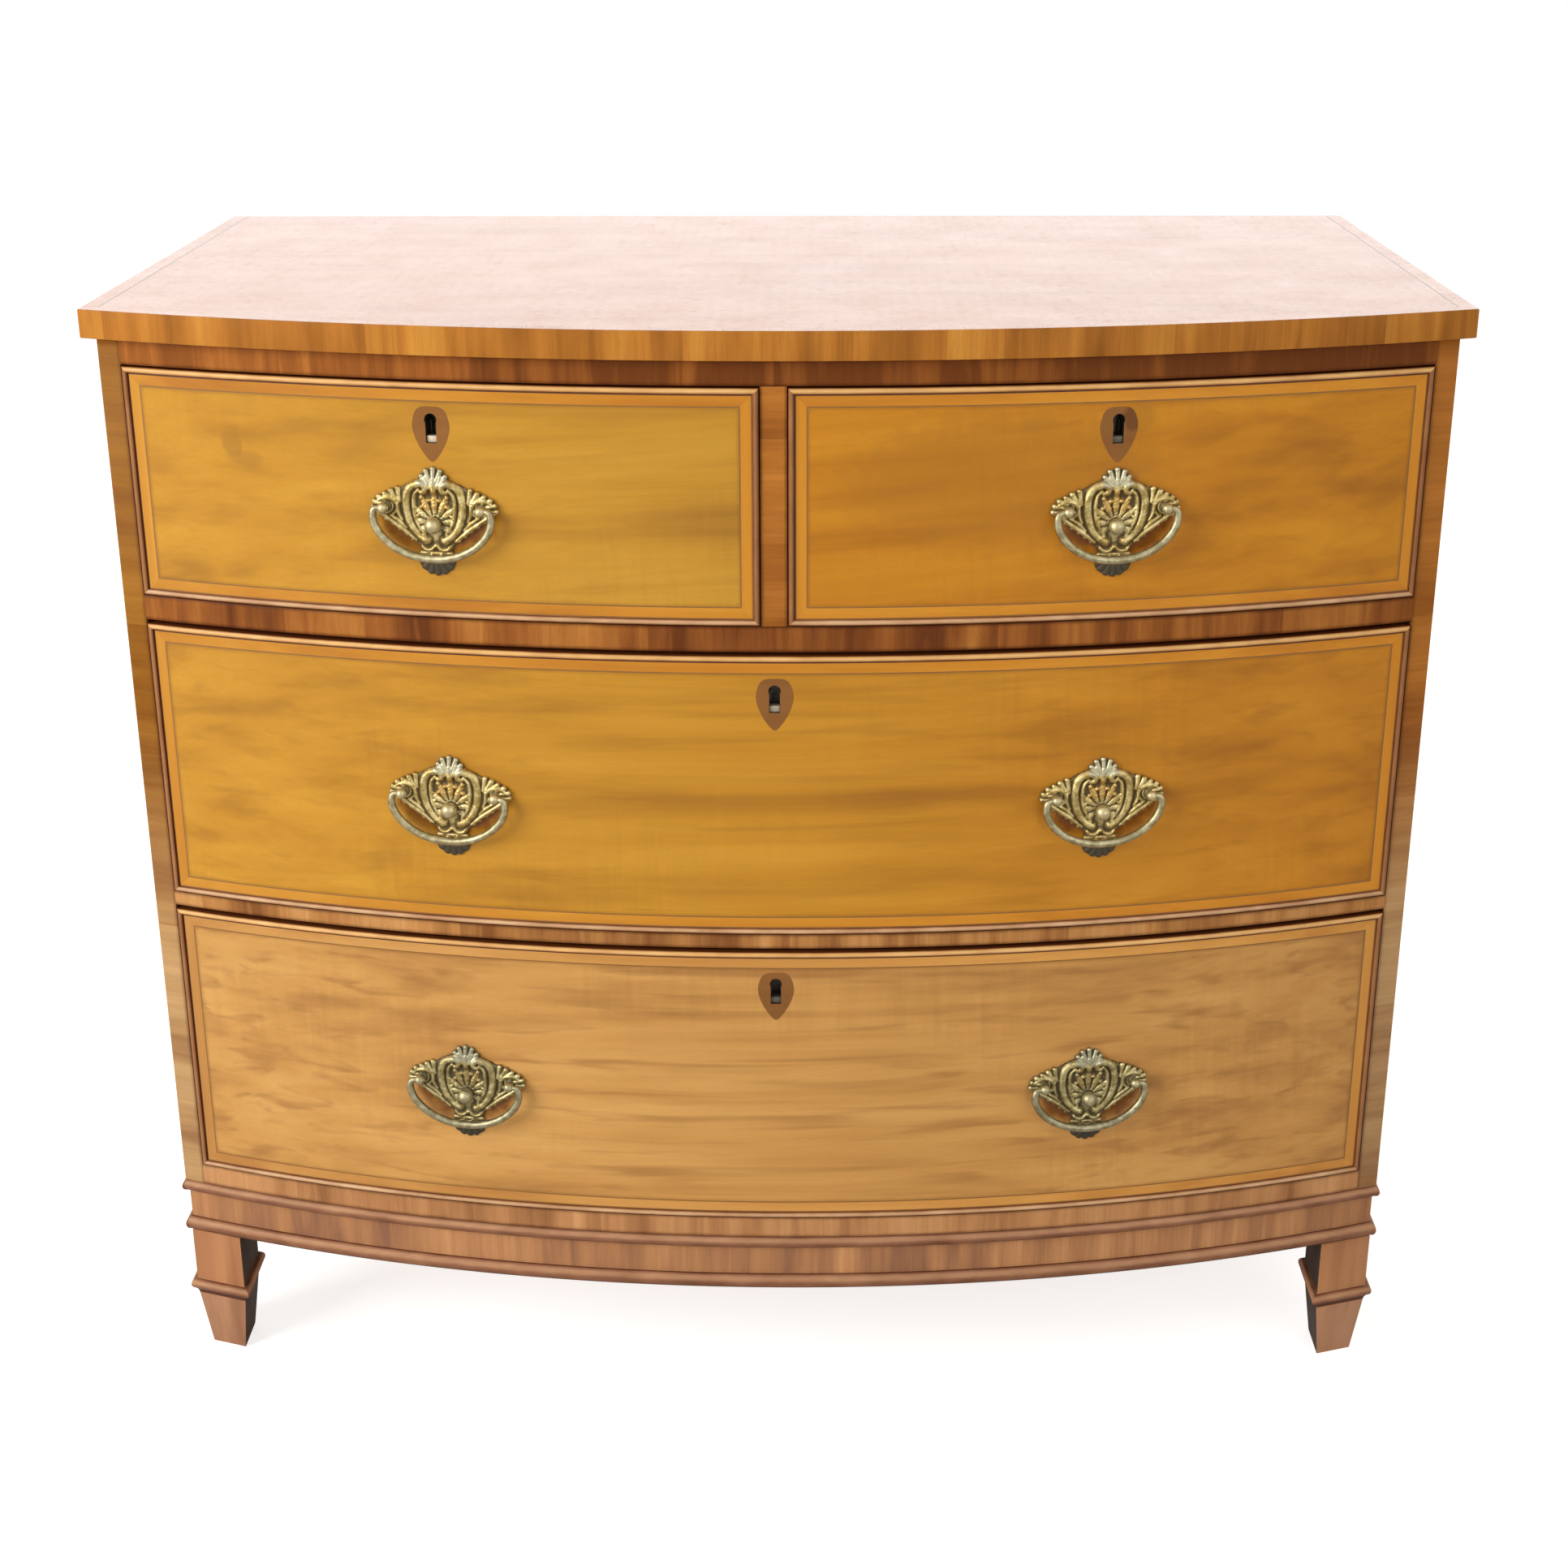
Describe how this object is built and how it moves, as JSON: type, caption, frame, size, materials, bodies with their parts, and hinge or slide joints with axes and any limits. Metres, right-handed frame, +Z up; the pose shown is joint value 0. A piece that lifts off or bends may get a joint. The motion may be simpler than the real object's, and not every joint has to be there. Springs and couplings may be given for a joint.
{
  "type": "bow front chest of drawers",
  "caption": "Bow front chest of drawers with short drawers over long ones, cockbeaded fronts, locks, bail handles, a moulded plinth and tapered block feet.",
  "frame": {"origin": "floor level, in the middle of the width and of the whole depth", "axes": "+X to the right seen from the front, -Y out of the bowed front, +Z up"},
  "size_m": [1.06, 0.6104, 0.93],
  "materials": {
    "top_veneer": "french polished veneer with a crossbanded edge",
    "case_veneer": "polished crossbanding",
    "drawer_veneer": "polished golden veneer with light bandings and dark strings",
    "cockbead": "polished rounded bead",
    "plinth_veneer": "polished red brown veneer",
    "drawer_lining": "bare oak",
    "pine": "bare pine",
    "lock_iron": "dull old iron and brass",
    "handle_brass": "aged stamped brass, dark in the recesses"
  },
  "bodies": {
    "case": {"top_board": "top_veneer", "left_side": "case_veneer", "right_side": "case_veneer", "bottom_rail": "case_veneer", "lower_rail": "case_veneer", "middle_rail": "case_veneer", "top_rail": "case_veneer", "muntin": "case_veneer", "bottom_board": "pine", "lower_dustboard": "pine", "upper_dustboard": "pine", "centre_partition": "pine", "back_panel": "pine", "plinth_frame": "plinth_veneer", "waist_moulding": "plinth_veneer", "plinth_bead": "plinth_veneer", "front_left_foot": "plinth_veneer", "front_right_foot": "plinth_veneer", "rear_left_foot": "plinth_veneer", "rear_right_foot": "plinth_veneer"},
    "left_short_drawer": {"left_short_drawer_front": "drawer_veneer", "left_short_drawer_left_side": "drawer_lining", "left_short_drawer_right_side": "drawer_lining", "left_short_drawer_back": "drawer_lining", "left_short_drawer_bottom": "drawer_lining", "left_short_drawer_cockbead": "cockbead", "left_short_drawer_lock": "lock_iron", "left_short_backplate": "handle_brass"},
    "right_short_drawer": {"right_short_drawer_front": "drawer_veneer", "right_short_drawer_left_side": "drawer_lining", "right_short_drawer_right_side": "drawer_lining", "right_short_drawer_back": "drawer_lining", "right_short_drawer_bottom": "drawer_lining", "right_short_drawer_cockbead": "cockbead", "right_short_drawer_lock": "lock_iron", "right_short_backplate": "handle_brass"},
    "upper_long_drawer": {"upper_long_drawer_front": "drawer_veneer", "upper_long_drawer_left_side": "drawer_lining", "upper_long_drawer_right_side": "drawer_lining", "upper_long_drawer_back": "drawer_lining", "upper_long_drawer_bottom": "drawer_lining", "upper_long_drawer_cockbead": "cockbead", "upper_long_drawer_lock": "lock_iron", "upper_left_backplate": "handle_brass", "upper_right_backplate": "handle_brass"},
    "lower_long_drawer": {"lower_long_drawer_front": "drawer_veneer", "lower_long_drawer_left_side": "drawer_lining", "lower_long_drawer_right_side": "drawer_lining", "lower_long_drawer_back": "drawer_lining", "lower_long_drawer_bottom": "drawer_lining", "lower_long_drawer_cockbead": "cockbead", "lower_long_drawer_lock": "lock_iron", "lower_left_backplate": "handle_brass", "lower_right_backplate": "handle_brass"},
    "left_short_handle": {"left_short_bail": "handle_brass"},
    "right_short_handle": {"right_short_bail": "handle_brass"},
    "upper_left_handle": {"upper_left_bail": "handle_brass"},
    "upper_right_handle": {"upper_right_bail": "handle_brass"},
    "lower_left_handle": {"lower_left_bail": "handle_brass"},
    "lower_right_handle": {"lower_right_bail": "handle_brass"}
  },
  "joints": [
    {"name": "left_short_drawer_slide", "type": "slide", "parent": "case", "child": "left_short_drawer", "axis": [0, -1, 0], "range_m": [0, 0.36]},
    {"name": "right_short_drawer_slide", "type": "slide", "parent": "case", "child": "right_short_drawer", "axis": [0, -1, 0], "range_m": [0, 0.36]},
    {"name": "upper_long_drawer_slide", "type": "slide", "parent": "case", "child": "upper_long_drawer", "axis": [0, -1, 0], "range_m": [0, 0.36]},
    {"name": "lower_long_drawer_slide", "type": "slide", "parent": "case", "child": "lower_long_drawer", "axis": [0, -1, 0], "range_m": [0, 0.36]},
    {"name": "left_short_handle_swing", "type": "hinge", "parent": "left_short_drawer", "child": "left_short_handle", "pos_m": [-0.25739, -0.28352, 0.792], "axis": [-0.9865, 0.1639, 0], "range_deg": [0, 170]},
    {"name": "right_short_handle_swing", "type": "hinge", "parent": "right_short_drawer", "child": "right_short_handle", "pos_m": [0.25739, -0.28352, 0.792], "axis": [-0.9865, -0.1639, 0], "range_deg": [0, 170]},
    {"name": "upper_left_handle_swing", "type": "hinge", "parent": "upper_long_drawer", "child": "upper_left_handle", "pos_m": [-0.25739, -0.28352, 0.5613], "axis": [-0.9865, 0.1639, 0], "range_deg": [0, 170]},
    {"name": "upper_right_handle_swing", "type": "hinge", "parent": "upper_long_drawer", "child": "upper_right_handle", "pos_m": [0.25739, -0.28352, 0.5613], "axis": [-0.9865, -0.1639, 0], "range_deg": [0, 170]},
    {"name": "lower_left_handle_swing", "type": "hinge", "parent": "lower_long_drawer", "child": "lower_left_handle", "pos_m": [-0.25739, -0.28352, 0.30755], "axis": [-0.9865, 0.1639, 0], "range_deg": [0, 170]},
    {"name": "lower_right_handle_swing", "type": "hinge", "parent": "lower_long_drawer", "child": "lower_right_handle", "pos_m": [0.25739, -0.28352, 0.30755], "axis": [-0.9865, -0.1639, 0], "range_deg": [0, 170]}
  ]
}
